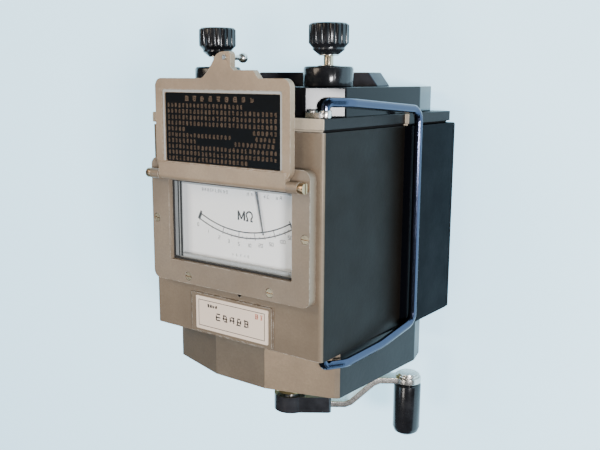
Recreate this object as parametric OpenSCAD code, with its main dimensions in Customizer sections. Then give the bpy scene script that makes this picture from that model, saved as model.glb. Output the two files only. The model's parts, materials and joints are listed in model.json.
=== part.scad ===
// Hand-cranked insulation tester. Millimetres.
// It lies on its back, dial up: +Z out of the dial, +Y towards the terminals, +X right.
// The origin is the middle of the flat back.

/* [Case] */
// Width of the front half of the case
front_w = 105; // [100:1:110]
// Width of the rear half of the case
rear_w = 113; // [110:1:116]
// Length of the case along the crank axis, without cap and gearbox
case_len = 102.8; // [100:0.4:106]
// Height of the front face above the back
case_h = 117.7; // [116:0.1:120]
// Height at which the two case halves meet
split_z = 47.5; // [46.5:0.5:48.5]
// Wall thickness of the castings
wall = 2.4; // [2:0.1:2.6]

/* [Ends] */
// Thickness of the cap
cap_t = 6.1; // [5.5:0.1:7]
// Height of the faceted terminal housing on the cap
terminal_h = 13.1; // [12.5:0.1:14]
// Height of the faceted gearbox under the case
gearbox_h = 22.4; // [21.5:0.1:23]
// Thickness of the yellow plate that closes the gearbox
cover_t = 1.6; // [1.4:0.1:2]

/* [Meter] */
// Width of the raised meter bezel
bezel_w = 98; // [96:1:100]
// Height of the bezel's face above the case front
bezel_t = 4.7; // [4.5:0.1:5]
// Height of the dial's face above the back
dial_z = 113.2; // [113:0.1:113.5]
// Distance from the pointer's pivot to its tip
pointer_len = 62; // [58:0.5:64]
// Angle of the resting pointer from the middle line, to the right
pointer_a = 11.5; // [0:0.5:16]

/* [Lid] */
// Width of the flip-over lid
lid_w = 82; // [80:1:84]
// Thickness of the lid
lid_t = 3.2; // [3:0.1:3.4]

/* [Terminals] */
// Distance between the two terminals
terminal_pitch = 68.8; // [66:0.4:70]
// Radius of the terminal base
base_r = 11.6; // [11:0.1:12]
// Radius of the terminal knob
knob_r = 9.3; // [9:0.1:9.6]
// Radius of the terminal stud
stud_r = 2.25; // [2.2:0.05:2.4]
// Free gap under an open knob
clamp_gap = 4.4; // [4.4:0.1:4.8]

/* [Crank] */
// Height of the crank axis above the back
crank_z = 71; // [70.5:0.5:71]
// Distance from the crank axis to the grip axis
crank_r = 63; // [58:0.5:63]
// Resting angle of the crank below the +X direction
crank_a = 36; // [30:1:40]
// Radius of the grip
grip_r = 7.3; // [6.8:0.1:7.3]
// Length of the grip
grip_len = 29; // [27:0.5:33]

/* [Bail] */
// Diameter of the bail's rod
bail_d = 4.2; // [4:0.1:4.2]

/* [Hidden] */
$fn = 64;
fit = 0.05;                          // radial clearance of a turning shaft
snug = 0.02;                         // radial clearance of a fixed piece
gap = 0.1;                           // clearance of a screw or a loose piece

fx = front_w / 2;
rx = rear_w / 2;
y_top = case_len / 2;
y_bot = -y_top;
y_cap = y_top + cap_t;
y_term = y_cap + terminal_h;
y_gear = y_bot - gearbox_h;
y_cover = y_gear + 1.8;               // outer face of the plate, inside the gearbox rim
y_shut = y_cover + cover_t;
face_z = case_h + bezel_t;
edge_r = 2;                          // rounding of the case's front edges
seam = 1.1;                          // dark groove between case and cap
seam_in = 1.4;                       // its depth
screw_x = 50.5;                      // the four screws of the back plate
screw_y = 45.4;

// faceted outlines of the two end blocks, half of each, as [x, z] from front to back
housing_half = [[fx - 14.8, case_h - 5.9], [fx - 1, case_h - 18.6], [fx - 1, 31], [fx - 8, 5.5]];
gearbox_half = [[15.8, case_h - 4.7], [fx - 2.7, case_h - 14.9], [fx - 0.9, case_h - 16.7],
    [fx + 2, 34], [fx - 1.6, 22]];

// meter window: the bezel's opening, the case's opening and the dial's size
win = [[-37.2, -14.9], [39.2, 25.2]];
hole = [[-41, -18.7], [43, 29]];
dial = [[-43, -19.6], [43.4, 29.4]];
bezel_y = [-25.9, 35.6];
bezel_screw_at = [[-46, 5.2], [46.2, 5.2], [-25, -22.2], [26.3, -22.2], [-25, 32], [25.6, 32]];
pivot = [4, 63];                     // pointer axis, x and y
pointer_z = dial_z + 0.8;
coil_z = 106;                        // where the pointer leaves the moving coil

// lid hinge line, along X
hinge_y = 28;
hinge_z = face_z + 2.4;
lid_top = 74.2;
lid_z = face_z + 0.5;                // back of the open lid
barrel_r = 2.1;
lug_r = 2.6;
barrel_x = 39;
lug_x = 45.2;
latch = [4.2, 83.4];

terminal_x = terminal_pitch / 2;
terminal_z = case_h - 29.2;
base_h = 9.2;
ring_t = 0.5;
clamp_t = 0.6;
y_ring = y_term + base_h;
y_clamp = y_ring + ring_t + clamp_gap;
y_knob = y_clamp + clamp_t;
knob_h = 13.8;
insert_h = 11.7;
insert_r = 4;

shaft_r = 4;
hub_y = [-102, -93.3];
arm_low = -98.6;
arm_high = -85;
arm_t = 3.2;
arm_w = 9;
grip_top = arm_high - arm_t / 2 - 0.4;
pin_r = 2.5;

// gear train, module 1: crank gear to layshaft pinion, layshaft gear to rotor pinion
drive_n = 60;
lay_pinion_n = 15;
lay_gear_n = 48;
rotor_n = 16;
lay_at = [0, crank_z] + (drive_n + lay_pinion_n) / 2 * [-0.6, -0.8];
rotor_at = lay_at + (lay_gear_n + rotor_n) / 2 * [0.96, -0.28];
lay_r = 2.5;

bail_r = bail_d / 2;
bail_at = [49.4, 112];               // bail pivot line, x and z
bail_pin_r = 1.6;
bail_screw = bail_at + [-6, 0.9];
bail_y = [-55, 64.2];              // where the arms start
bail_knee = [55, 101.5];             // where they clear the side
bail_grip = [rx + bail_r + 0.5, 46]; // the long run along the side
bail_grip_y = [-48, 59.7];
lug_h = 3.3;

// ---------- helpers ----------

// draws an [x, z] outline along Y from y0 to y1
module along_y(y0, y1) {
    translate([0, y1, 0])
        rotate([90, 0, 0])
            linear_extrude(y1 - y0)
                children();
}

// cylinders along Y at [x, z], along Z at [x, y], and along X at [y, z]
module rod_y(at, y0, y1, r) {
    translate([at[0], y1, at[1]])
        rotate([90, 0, 0])
            cylinder(h = y1 - y0, r = r);
}

module rod_z(at, z0, z1, r) {
    translate([at[0], at[1], z0])
        cylinder(h = z1 - z0, r = r);
}

module rod_x(at, x0, x1, r) {
    translate([x0, at[0], at[1]])
        rotate([0, 90, 0])
            cylinder(h = x1 - x0, r = r);
}

module block(lo, hi) {
    translate(lo)
        cube(hi - lo);
}

// rectangle between two corners, with round corners
module round_rect(lo, hi, r) {
    translate([lo[0] + r, lo[1]])
        square([hi[0] - lo[0] - 2 * r, hi[1] - lo[1]]);
    translate([lo[0], lo[1] + r])
        square([hi[0] - lo[0], hi[1] - lo[1] - 2 * r]);
    for (x = [lo[0] + r, hi[0] - r])
        for (y = [lo[1] + r, hi[1] - r])
            translate([x, y])
                circle(r);
}

// flat plate between two corners, from z0 to z1
module plate(lo, hi, z0, z1, r = 0.01) {
    translate([0, 0, z0])
        linear_extrude(z1 - z0)
            round_rect(lo, hi, r);
}

// full outline of a block that is the same left and right
function both_sides(half) =
    concat(half, [for (i = [len(half) - 1:-1:0]) [-half[i][0], half[i][1]]]);

// shrunk outline with straight sides only, computed edge by edge
function normal_in(a, b) = let (d = b - a) [d[1], -d[0]] / norm(d);
function meet(p, n, q, m, t) =
    let (k = n[0] * m[1] - n[1] * m[0], c = n * p + t, e = m * q + t)
    [(c * m[1] - e * n[1]) / k, (e * n[0] - c * m[0]) / k];
function shrunk(points, t) = let (n = len(points)) [
    for (i = [0:n - 1])
        let (a = points[(i + n - 1) % n], b = points[i], c = points[(i + 1) % n])
        meet(b, normal_in(a, b), b, normal_in(b, c), t)
];

// corner points moved half a thickness to each side of a bent strip
function strip_normal(p, i) = let (n = len(p), a = p[max(i - 1, 0)], b = p[i], c = p[min(i + 1, n - 1)],
    u = i == 0 ? c - b : b - a, v = i == n - 1 ? b - a : c - b,
    nu = [-u[1], u[0]] / norm(u), nv = [-v[1], v[0]] / norm(v), s = nu + nv)
    s * 2 / (s * s);
function strip(p, t) = concat(
    [for (i = [0:len(p) - 1]) p[i] + strip_normal(p, i) * t / 2],
    [for (i = [len(p) - 1:-1:0]) p[i] - strip_normal(p, i) * t / 2]);

// involute gear of module 1
function inv(a) = tan(a) * 180 / PI - a;
function half_tooth(n, r, thin) = let (rb = n / 2 * cos(20))
    90 / n * (1 - thin) + inv(20) - (r > rb ? inv(acos(rb / r)) : 0);
function gear_radii(n) = let (rb = n / 2 * cos(20), low = n / 2 - 1.2, top = n / 2 + 0.85)
    concat([low], [for (k = [0:3]) let (s = max(rb, low + 0.1)) s + (top - s) * k / 3]);
function gear_points(n) = [
    for (i = [0:n - 1])
        for (side = [-1, 1])
            let (rs = gear_radii(n), last = len(rs) - 1)
            for (k = [0:last])
                let (r = side < 0 ? rs[k] : rs[last - k], a = 360 * i / n + side * half_tooth(n, r, 0.12))
                r * [cos(a), sin(a)]
];

// gear around [x, z]; a tooth, or a gap, points in the direction toward
module gear(at, n, toward, y0, y1, bore, tooth = true) {
    difference() {
        translate([at[0], y1, at[1]])
            rotate([90, 0, 0])
                linear_extrude(y1 - y0)
                    rotate(atan2(toward[1], toward[0]) + (tooth ? 0 : 180 / n))
                        polygon(gear_points(n));
        rod_y(at, y0 - 1, y1 + 1, bore);
    }
}

// the crank's own frame: axis at its origin, arm along its +X
module crank_frame() {
    translate([0, 0, crank_z])
        rotate([0, crank_a, 0])
            children();
}

// ---------- case ----------

module front_outline(half, r) {
    translate([-half, split_z])
        square([2 * half, case_h - r - split_z]);
    translate([-half + r, split_z])
        square([2 * (half - r), case_h - split_z]);
    for (x = [-half + r, half - r])
        translate([x, case_h - r])
            circle(r);
}

module front_case() {
    color([0.62, 0.57, 0.51])
        difference() {
            union() {
                difference() {
                    along_y(y_bot, y_top)
                        front_outline(fx, edge_r);
                    block([-fx + wall, y_bot + wall, split_z - 1], [fx - wall, y_top + 1, case_h - wall]);
                }
                // raised pad for the name plate
                plate([-26.5, -50.4], [25, -30.6], case_h - 0.1, case_h + 1.2, 0.8);
                // solid corner that holds the bail's lower pin
                block([fx - 8, y_bot, case_h - 9.5], [fx - 1, y_bot + 7, case_h - 1]);
                for (p = bezel_screw_at)
                    rod_z(p, case_h - 6.5, case_h - wall + 0.1, 2.3);
            }
            plate(hole[0], hole[1], case_h - wall - 1, case_h + 1);
            for (p = bezel_screw_at)
                rod_z(p, case_h - 8, case_h + 1, 1.4 + gap);
            rod_z([latch[0], 2 * hinge_y - latch[1]], case_h - wall - 1, case_h + 1, 1.4);
            rod_y(bail_at, y_bot - 1, y_bot + 5, bail_pin_r + fit);
            rod_y([0, crank_z], y_bot - 1, y_bot + wall + 1, shaft_r + fit);
        }
}

module rear_case() {
    color([0.13, 0.15, 0.2])
        difference() {
            union() {
                difference() {
                    block([-rx, y_bot, wall], [rx, y_top, split_z]);
                    block([-rx + wall, y_bot + wall, wall - 1], [rx - wall, y_top + 1, split_z - wall]);
                    block([-fx + wall, y_bot + wall, wall], [fx - wall, y_top + 1, split_z + 1]);
                }
                for (x = [-screw_x, screw_x])
                    for (y = [-screw_y, screw_y])
                        rod_z([x, y], wall, 16, 4);
            }
            for (x = [-screw_x, screw_x])
                for (y = [-screw_y, screw_y])
                    rod_z([x, y], wall - 1, 17, 1.5 + gap);
            rod_y(lay_at, y_bot - 1, y_bot + wall + 1, lay_r + fit);
        }
}

module back_plate() {
    color([0.15, 0.17, 0.2])
        difference() {
            plate([-rx, y_bot], [rx, y_top], 0, wall, 1);
            for (x = [-screw_x, screw_x])
                for (y = [-screw_y, screw_y]) {
                    rod_z([x, y], -1, wall + 1, 1.5 + gap);
                    rod_z([x, y], -1, 1.5, 3);
                }
        }
}

module back_screws() {
    color([0.6, 0.6, 0.6])
        for (x = [-screw_x, screw_x])
            for (y = [-screw_y, screw_y])
                difference() {
                    union() {
                        rod_z([x, y], 0.3, 1.5, 2.8);
                        rod_z([x, y], 1.4, 13, 1.5);
                    }
                    block([x - 3, y - 0.35, 0.2], [x + 3, y + 0.35, 0.8]);
                }
}

module cap_outline(t) {
    translate([-fx + t, split_z])
        square([2 * (fx - t), case_h - split_z - t]);
    translate([-rx + 2 + t, 2 + t])
        square([2 * (rx - 2 - t), split_z - 2 - 2 * t]);
    translate([-fx + t, split_z - 3 * t])
        square([2 * (fx - t), 6 * t]);
}

module top_cap() {
    color([0.2, 0.21, 0.23])
        difference() {
            union() {
                along_y(y_top + seam, y_cap)
                    cap_outline(0);
                along_y(y_top, y_top + seam + 0.1)
                    cap_outline(seam_in);
            }
            along_y(y_top - 1, y_cap - 2.2)
                cap_outline(wall);
            block([-30, y_top, 20], [30, y_cap + 1, case_h - 10]);
            rod_y(bail_screw, y_cap - 5, y_cap + 1, 1.2 + gap);
        }
}

module terminal_housing() {
    color([0.08, 0.08, 0.1])
        difference() {
            along_y(y_cap, y_term)
                polygon(both_sides(housing_half));
            along_y(y_cap - 1, y_term - 2.2)
                polygon(shrunk(both_sides(housing_half), 2.2));
            for (x = [-terminal_x, terminal_x])
                rod_y([x, terminal_z], y_cap, y_term + 1, stud_r + gap);
        }
}

module terminal_bridge() {
    color([0.06, 0.06, 0.09])
        translate([0, 0, 41.9])
            linear_extrude(12.6)
                polygon([[-40.3, y_term], [40.3, y_term], [34.8, y_term + 6.8], [-34.8, y_term + 6.8]]);
}

// ---------- gearbox ----------

cover_screw_at = [[-46.4, 94], [46.4, 94], [-48.4, 45], [48.4, 45]];

module gearbox_housing() {
    color([0.6, 0.56, 0.5])
        difference() {
            union() {
                difference() {
                    along_y(y_gear, y_bot)
                        polygon(both_sides(gearbox_half));
                    along_y(y_gear - 1, y_bot + 1)
                        polygon(shrunk(both_sides(gearbox_half), wall));
                }
                for (p = cover_screw_at)
                    rod_y(p, y_shut, y_bot, 3.6);
            }
            for (p = cover_screw_at)
                rod_y(p, y_shut - 1, y_shut + 12, 1.5 + gap);
        }
}

module gear_cover() {
    color([0.72, 0.58, 0.25])
        difference() {
            along_y(y_cover, y_shut)
                polygon(shrunk(both_sides(gearbox_half), wall + 0.15));
            rod_y([0, crank_z], y_cover - 1, y_shut + 1, shaft_r + 0.5);
            rod_y(lay_at, y_cover + 0.4, y_shut + 1, lay_r + fit);
            for (p = cover_screw_at)
                rod_y(p, y_cover - 1, y_shut + 1, 1.5 + gap);
        }
}

module cover_screws() {
    color([0.7, 0.6, 0.35])
        for (p = cover_screw_at)
            difference() {
                union() {
                    rod_y(p, y_cover - 1.6, y_cover, 2.8);
                    rod_y(p, y_cover - 0.1, y_cover + 8, 1.5);
                }
                block([p[0] - 3, y_cover - 1.7, p[1] - 0.4], [p[0] + 3, y_cover - 0.8, p[1] + 0.4]);
            }
}

module drive_gear() {
    color([0.75, 0.62, 0.3])
        difference() {
            gear([0, crank_z], drive_n, lay_at - [0, crank_z], -63, -58, shaft_r + snug);
            for (a = [0:60:300])
                translate([0, -57, crank_z])
                    rotate([90, a, 0])
                        translate([17, 0, 0])
                            cylinder(h = 7, r = 6);
        }
}

module layshaft() {
    color([0.7, 0.7, 0.72])
        rod_y(lay_at, y_cover + 0.6, -34, lay_r);
}

module lay_pinion() {
    color([0.75, 0.62, 0.3])
        gear(lay_at, lay_pinion_n, [0, crank_z] - lay_at, -64, -57, lay_r + snug, false);
}

module lay_gear() {
    color([0.75, 0.62, 0.3])
        difference() {
            gear(lay_at, lay_gear_n, rotor_at - lay_at, -46, -42, lay_r + snug);
            for (a = [0:72:288])
                translate([lay_at[0], -41, lay_at[1]])
                    rotate([90, a, 0])
                        translate([13.5, 0, 0])
                            cylinder(h = 6, r = 5);
        }
}

// ---------- generator ----------

module rotor_pinion() {
    color([0.7, 0.7, 0.72])
        gear(rotor_at, rotor_n, lay_at - rotor_at, -46.5, -41.5, lay_r + snug, false);
}

module rotor_shaft() {
    color([0.7, 0.7, 0.72])
        rod_y(rotor_at, -47.5, 36, lay_r);
}

module rotor_magnet() {
    color([0.35, 0.35, 0.37])
        difference() {
            rod_y(rotor_at, -20, 25, 15);
            rod_y(rotor_at, -21, 26, lay_r + snug);
            for (a = [0:60:300])
                translate([rotor_at[0], 26, rotor_at[1]])
                    rotate([90, a, 0])
                        translate([15.5, 0, 0])
                            cylinder(h = 47, r = 2);
        }
}

module stator_core() {
    color([0.45, 0.3, 0.2])
        difference() {
            rod_y(rotor_at, -17, 22, 24);
            rod_y(rotor_at, -18, 23, 15.6);
            for (a = [30:60:330])
                translate([rotor_at[0], 23, rotor_at[1]])
                    rotate([90, a, 0])
                        translate([19, 0, 0])
                            cylinder(h = 41, r = 2.4);
        }
}

// two bearing plates that stand on the back, and four pillars between them
module generator_plates() {
    color([0.55, 0.55, 0.57]) {
        difference() {
            block([-28, -37, wall], [36, -34, 58]);
            rod_y(rotor_at, -38, -33, lay_r + fit);
            rod_y(lay_at, -38, -33, lay_r + fit);
        }
        difference() {
            block([-18, 31, wall], [36, 34, 58]);
            rod_y(rotor_at, 30, 35, lay_r + fit);
        }
        for (p = [[-15, 7], [31.5, 7], [-15, 54], [31.5, 54]])
            rod_y(p, -34, 31, 2.6);
    }
}

module rectifier_board() {
    color([0.15, 0.35, 0.2])
        union() {
            block([-52, -28, 18], [-30, 40, 19.6]);
            for (x = [-49.5, -32.5])
                for (y = [-25, 37])
                    rod_z([x, y], wall, 18.1, 2.2);
            for (i = [0:3])
                rod_z([-41, -18 + 16 * i], 19.5, 33, 5.5);
        }
}

// ---------- meter ----------

module meter_bezel() {
    half = bezel_w / 2;
    color([0.63, 0.58, 0.52])
        difference() {
            union() {
                plate([-half, bezel_y[0]], [half, bezel_y[1]], case_h, face_z, 4);
                // hinge lugs
                for (x = [-lug_x, barrel_x + 0.3]) {
                    rod_x([hinge_y, hinge_z], x, x + lug_x - barrel_x - 0.3, lug_r);
                    block([x, hinge_y - 2, face_z - 0.5], [x + lug_x - barrel_x - 0.3, hinge_y + 2, hinge_z]);
                }
            }
            plate(win[0], win[1], case_h - 1, face_z + 1, 0.8);
            plate([hole[0][0] + 0.3, hole[0][1] + 0.3], [hole[1][0] - 0.3, hole[1][1] - 0.3],
                case_h - 1, case_h + 2.1);
            for (p = bezel_screw_at) {
                rod_z(p, case_h - 1, face_z + 1, 1.4 + gap);
                rod_z(p, face_z - 1.5, face_z + 1, 2.3);
            }
            rod_x([hinge_y, hinge_z], -50, 50, 1.3 + fit);
        }
}

module bezel_screws() {
    color([0.55, 0.42, 0.25])
        for (p = bezel_screw_at)
            difference() {
                union() {
                    rod_z(p, face_z - 1.5, face_z - 0.2, 2.05);
                    rod_z(p, case_h - 6, face_z - 1.4, 1.4);
                }
                block([p[0] - 3, p[1] - 0.3, face_z - 0.9], [p[0] + 3, p[1] + 0.3, face_z]);
            }
}

module ring_plate(outer, inner, z0, z1) {
    difference() {
        plate(outer[0], outer[1], z0, z1);
        plate(inner[0], inner[1], z0 - 1, z1 + 1);
    }
}

glass = [hole[0] + [0.5, 0.5], hole[1] - [0.5, 0.5]];

module glass_gasket() {
    color([0.1, 0.1, 0.1])
        ring_plate(glass, [win[0] + [0.9, 0.9], win[1] - [0.9, 0.9]], case_h + 1.5, case_h + 2.1);
}

module meter_glass() {
    color([0.8, 0.88, 0.9, 0.3])
        plate(glass[0], glass[1], case_h - 0.5, case_h + 1.5);
}

// mask between glass and dial, with a rim that holds the dial on three sides
module dial_frame() {
    rim_z = case_h - wall;
    color([0.6, 0.6, 0.57])
        difference() {
            union() {
                plate(hole[0] + [0.1, 0.1], hole[1] - [0.1, 0.1], rim_z - 0.4, case_h - 0.5);
                plate(dial[0], [hole[0][0] + 3, dial[1][1] - 1.5], dial_z, rim_z);
                plate([hole[1][0] - 3, dial[0][1]], [dial[1][0], dial[1][1] - 1.5], dial_z, rim_z);
                plate(dial[0], [dial[1][0], hole[0][1] + 3], dial_z, rim_z);
            }
            plate(win[0] + [2.2, 2.2], win[1] - [2.2, 2.2], dial_z - 1, case_h + 1);
        }
}

module dial_plate() {
    color([0.9, 0.9, 0.88])
        plate(dial[0], dial[1], dial_z - 1, dial_z);
}

// bar across the cap, back bridge, front bridge and two pillars
module movement_frame() {
    color([0.7, 0.62, 0.4])
        difference() {
            union() {
                block([-33, y_cap, 66], [33, y_cap + 3, 75]);
                block([-14, y_cap + 2, 70], [22, 68, 74]);
                block([-14, 60, 107.4], [22, 66.5, 109.2]);
                for (x = [-12, 20])
                    rod_z([x, pivot[1]], 73, 108, 1.6);
            }
            rod_z(pivot, 71, 75, 0.8 + fit);
            rod_z(pivot, 107, 108.8, 0.8 + fit);
        }
}

module movement_magnet() {
    color([0.4, 0.4, 0.42])
        difference() {
            block([-9, 46, 77], [17, 67.8, 100]);
            rod_z(pivot, 76, 101, 5);
            block([pivot[0] - 3.5, pivot[1], 76], [pivot[0] + 3.5, 69, 101]);
        }
}

module moving_coil() {
    color([0.7, 0.4, 0.2])
        union() {
            rod_z(pivot, 72, 108.6, 0.8);
            translate([pivot[0], pivot[1], 0])
                rotate([0, 0, pointer_a])
                    difference() {
                        block([-3.9, -1.5, 75.5], [3.9, 1.5, 101.5]);
                        block([-2.4, -2, 77.5], [2.4, 2, 99.5]);
                    }
        }
}

// arm behind the dial, step over its top edge, and a tapered tip in front of it
module pointer() {
    color([0.2, 0.2, 0.22])
        translate([pivot[0], pivot[1], 0])
            rotate([0, 0, pointer_a])
                difference() {
                    union() {
                        rod_z([0, 0], coil_z - 1.5, coil_z + 1, 2.2);
                        block([-0.8, -29, coil_z - 0.5], [0.8, 4, coil_z]);
                        block([-0.8, -29.5, coil_z - 0.5], [0.8, -29, pointer_z + 0.5]);
                        translate([0, 0, pointer_z])
                            linear_extrude(0.5)
                                polygon([[-0.8, -29], [0.8, -29], [0.22, -pointer_len], [-0.22, -pointer_len]]);
                    }
                    rod_z([0, 0], coil_z - 2, coil_z + 2, 0.8 + snug);
                }
}

module name_plate() {
    color([0.9, 0.86, 0.76])
        plate([-22.8, -48.7], [23, -31.9], case_h + 1.2, case_h + 1.8, 0.5);
}

// ---------- lid ----------

// tongue with one long curved side, and the low shoulder beside it
lid_tab = [[-12, lid_top - 1], [-9, lid_top + 0.8], [-6, lid_top + 3.4], [-3, lid_top + 7.6],
    [-1, lid_top + 10.4], [1.4, lid_top + 11.6], [6.6, lid_top + 11.8], [7.6, lid_top + 10.8],
    [7.6, lid_top + 5], [9.4, lid_top + 3.6], [20.6, lid_top + 3.6], [24.4, lid_top - 1]];

module lid_cover() {
    half = lid_w / 2;
    color([0.62, 0.57, 0.5])
        difference() {
            union() {
                plate([-half, hinge_y + 3.2], [half, lid_top], lid_z, lid_z + lid_t, 4);
                block([-barrel_x, hinge_y, hinge_z - 0.8], [barrel_x, hinge_y + 6.2, hinge_z + barrel_r]);
                block([-barrel_x, hinge_y + 1.6, lid_z + 0.6], [barrel_x, hinge_y + 12, lid_z + lid_t]);
                translate([0, 0, lid_z])
                    linear_extrude(lid_t)
                        polygon(lid_tab);
                rod_x([hinge_y, hinge_z], -barrel_x, barrel_x, barrel_r);
            }
            plate([-35.2, 34.7], [35.2, 67.6], lid_z + 1.4, lid_z + lid_t + 1, 0.8);
            plate([-36.6, 34.7], [36.6, 69], lid_z + lid_t - 0.6, lid_z + lid_t + 1, 1.2);
            rod_x([hinge_y, hinge_z], -barrel_x - 1, -barrel_x + 12, 1.3 + fit);
            rod_x([hinge_y, hinge_z], barrel_x - 12, barrel_x + 1, 1.3 + fit);
            rod_z(latch, lid_z - 1, lid_z + lid_t + 1, 1.1 + fit);
        }
}

module instruction_plate() {
    color([0.05, 0.05, 0.05])
        plate([-35, 34.9], [35, 67.4], lid_z + 1.4, lid_z + 2.2, 0.6);
}

// one shoulder screw at each end of the hinge
module hinge_screws() {
    color([0.5, 0.4, 0.28])
        for (side = [-1, 1])
            difference() {
                union() {
                    rod_x([hinge_y, hinge_z], side < 0 ? -lug_x - 3 : lug_x, side < 0 ? -lug_x : lug_x + 3, 2.4);
                    rod_x([hinge_y, hinge_z], side < 0 ? -lug_x - 1 : 29, side < 0 ? -29 : lug_x + 1, 1.3);
                }
                block([side * (lug_x + 2.6) - 0.6, hinge_y - 3, hinge_z - 0.3],
                    [side * (lug_x + 2.6) + 0.6, hinge_y + 3, hinge_z + 0.3]);
            }
}

module latch_bolt() {
    color([0.7, 0.7, 0.7])
        rod_z(latch, lid_z - 7.8, lid_z + lid_t + 0.7, 1.1);
}

module latch_knob() {
    color([0.75, 0.75, 0.75])
        translate([latch[0], latch[1], lid_z - 9.3])
            difference() {
                sphere(2.3);
                translate([0, 0, 1.5])
                    cylinder(h = 2, r = 1.1 + snug);
            }
}

// ---------- bail ----------

// points of an arc that rounds the corner b between a and c at radius r
function unit(v) = v / norm(v);
function corner(a, b, c, r) =
    let (u = unit(a - b), v = unit(c - b), t = acos(u * v) / 2, d = r / tan(t),
        m = b + unit(u + v) * r / sin(t), p = b + u * d - m, q = b + v * d - m, w = 180 - 2 * t)
    [for (k = [0:5]) let (s = k / 5) m + (p * sin((1 - s) * w) + q * sin(s * w)) / sin(w)];

bail_corners = [
    [bail_at[0], bail_y[1], bail_at[1]],
    [bail_knee[0], bail_y[1] - 0.2, bail_knee[1]],
    [bail_grip[0], bail_grip_y[1], bail_grip[1]],
    [bail_grip[0], bail_grip_y[0], bail_grip[1]],
    [57, -53.6, 74],
    [bail_knee[0], bail_y[0] - 0.3, bail_knee[1]],
    [bail_at[0], bail_y[0], bail_at[1]]
];
bail_ends = [[bail_at[0], y_cap + lug_h + 0.2, bail_at[1]], [bail_at[0], y_bot - 0.7, bail_at[1]]];
bail_bends = [2.6, 14, 6, 6, 40, 12, 2.3];
bail_path = let (p = concat([bail_ends[0]], bail_corners, [bail_ends[1]]))
    concat([p[0]], [for (i = [1:len(p) - 2]) each corner(p[i - 1], p[i], p[i + 1], bail_bends[i - 1])],
        [p[len(p) - 1]]);

// round tube of radius r along a path; each ring's own axes come from the path's direction
function ring(p, i, r, sides) =
    let (n = len(p), t = unit(p[min(i + 1, n - 1)] - p[max(i - 1, 0)]),
        x = unit(cross(t, [0.97, 0, 0.24])), y = cross(t, x))
    [for (k = [0:sides - 1]) p[i] + r * (cos(360 * k / sides) * x + sin(360 * k / sides) * y)];

module tube(p, r, sides) {
    n = len(p);
    polyhedron(
        points = [for (i = [0:n - 1]) each ring(p, i, r, sides)],
        faces = concat(
            [[for (k = [0:sides - 1]) k]],
            [[for (k = [sides - 1:-1:0]) (n - 1) * sides + k]],
            [for (i = [0:n - 2]) for (k = [0:sides - 1])
                [i * sides + k, (i + 1) * sides + k, (i + 1) * sides + (k + 1) % sides]],
            [for (i = [0:n - 2]) for (k = [0:sides - 1])
                [i * sides + k, (i + 1) * sides + (k + 1) % sides, i * sides + (k + 1) % sides]]));
}

module bail_handle() {
    color([0.75, 0.75, 0.78])
        tube(bail_path, bail_r, 16);
}

module bail_pins() {
    color([0.7, 0.7, 0.7]) {
        rod_y(bail_at, y_cap + 0.3, bail_ends[0][1], bail_pin_r);
        rod_y(bail_at, bail_ends[1][1], y_bot + 4.5, bail_pin_r);
    }
}

module bail_lug() {
    color([0.7, 0.7, 0.7])
        difference() {
            union() {
                rod_y(bail_at, y_cap, y_cap + lug_h, 2.6);
                block([bail_at[0] - 8.5, y_cap, bail_at[1] - 1.6], [bail_at[0], y_cap + 2.4, bail_at[1] + 3.4]);
            }
            rod_y(bail_at, y_cap - 1, y_cap + lug_h + 1, bail_pin_r + fit);
            rod_y(bail_screw, y_cap - 1, y_cap + 4, 1.2 + gap);
        }
}

module bail_lug_screw() {
    color([0.6, 0.6, 0.6])
        union() {
            rod_y(bail_screw, y_cap + 2.4, y_cap + 3.2, 2);
            rod_y(bail_screw, y_cap - 4, y_cap + 2.5, 1.2);
        }
}

// ---------- terminals ----------

module base_disc(x) {
    at = [x, terminal_z];
    color([0.05, 0.05, 0.06])
        difference() {
            union() {
                rod_y(at, y_term, y_ring - 0.6, base_r);
                rod_y(at, y_ring - 0.7, y_ring, base_r - 0.6);
            }
            rod_y(at, y_term - 1, y_ring + 1, stud_r + gap);
        }
}

module stud(x) {
    color([0.8, 0.75, 0.6])
        rod_y([x, terminal_z], y_term - 8, y_knob + 6.2, stud_r);
}

module washer(x, y0, y1, r) {
    color([0.75, 0.75, 0.75])
        difference() {
            rod_y([x, terminal_z], y0, y1, r);
            rod_y([x, terminal_z], y0 - 1, y1 + 1, stud_r + gap);
        }
}

module insert(x) {
    at = [x, terminal_z];
    color([0.8, 0.65, 0.3])
        difference() {
            rod_y(at, y_knob, y_knob + insert_h, insert_r);
            rod_y(at, y_knob - 1, y_knob + 11, stud_r + fit);
        }
}

module knob(x) {
    flutes = 20;
    color([0.06, 0.06, 0.07])
        translate([x, y_knob, terminal_z])
            rotate([-90, 0, 0])
                difference() {
                    rotate_extrude()
                        polygon([[insert_r + snug, 0], [4.9, 0], [7.4, 2], [7.4, 2.9], [knob_r, 5],
                            [knob_r, knob_h - 0.9], [knob_r - 0.9, knob_h], [0, knob_h],
                            [0, insert_h + snug], [insert_r + snug, insert_h + snug]]);
                    for (i = [0:flutes - 1])
                        rotate([0, 0, 360 * i / flutes])
                            translate([knob_r + 0.35, 0, 4.4])
                                cylinder(h = knob_h, r = 0.9, $fn = 16);
                }
}

module line_base() {
    base_disc(terminal_x);
}

module earth_base() {
    base_disc(-terminal_x);
}

module line_stud() {
    stud(terminal_x);
}

module earth_stud() {
    stud(-terminal_x);
}

module stud_nuts() {
    color([0.75, 0.65, 0.4])
        for (x = [-terminal_x, terminal_x])
            difference() {
                translate([x, y_term - 2.2, terminal_z])
                    rotate([90, 0, 0])
                        cylinder(h = 3, r = 4.6, $fn = 6);
                rod_y([x, terminal_z], y_term - 9, y_term, stud_r + gap);
            }
}

module guard_ring() {
    washer(terminal_x, y_ring, y_ring + ring_t, 5.2);
}

module earth_washer() {
    washer(-terminal_x, y_ring, y_ring + ring_t, 4.4);
}

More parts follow.
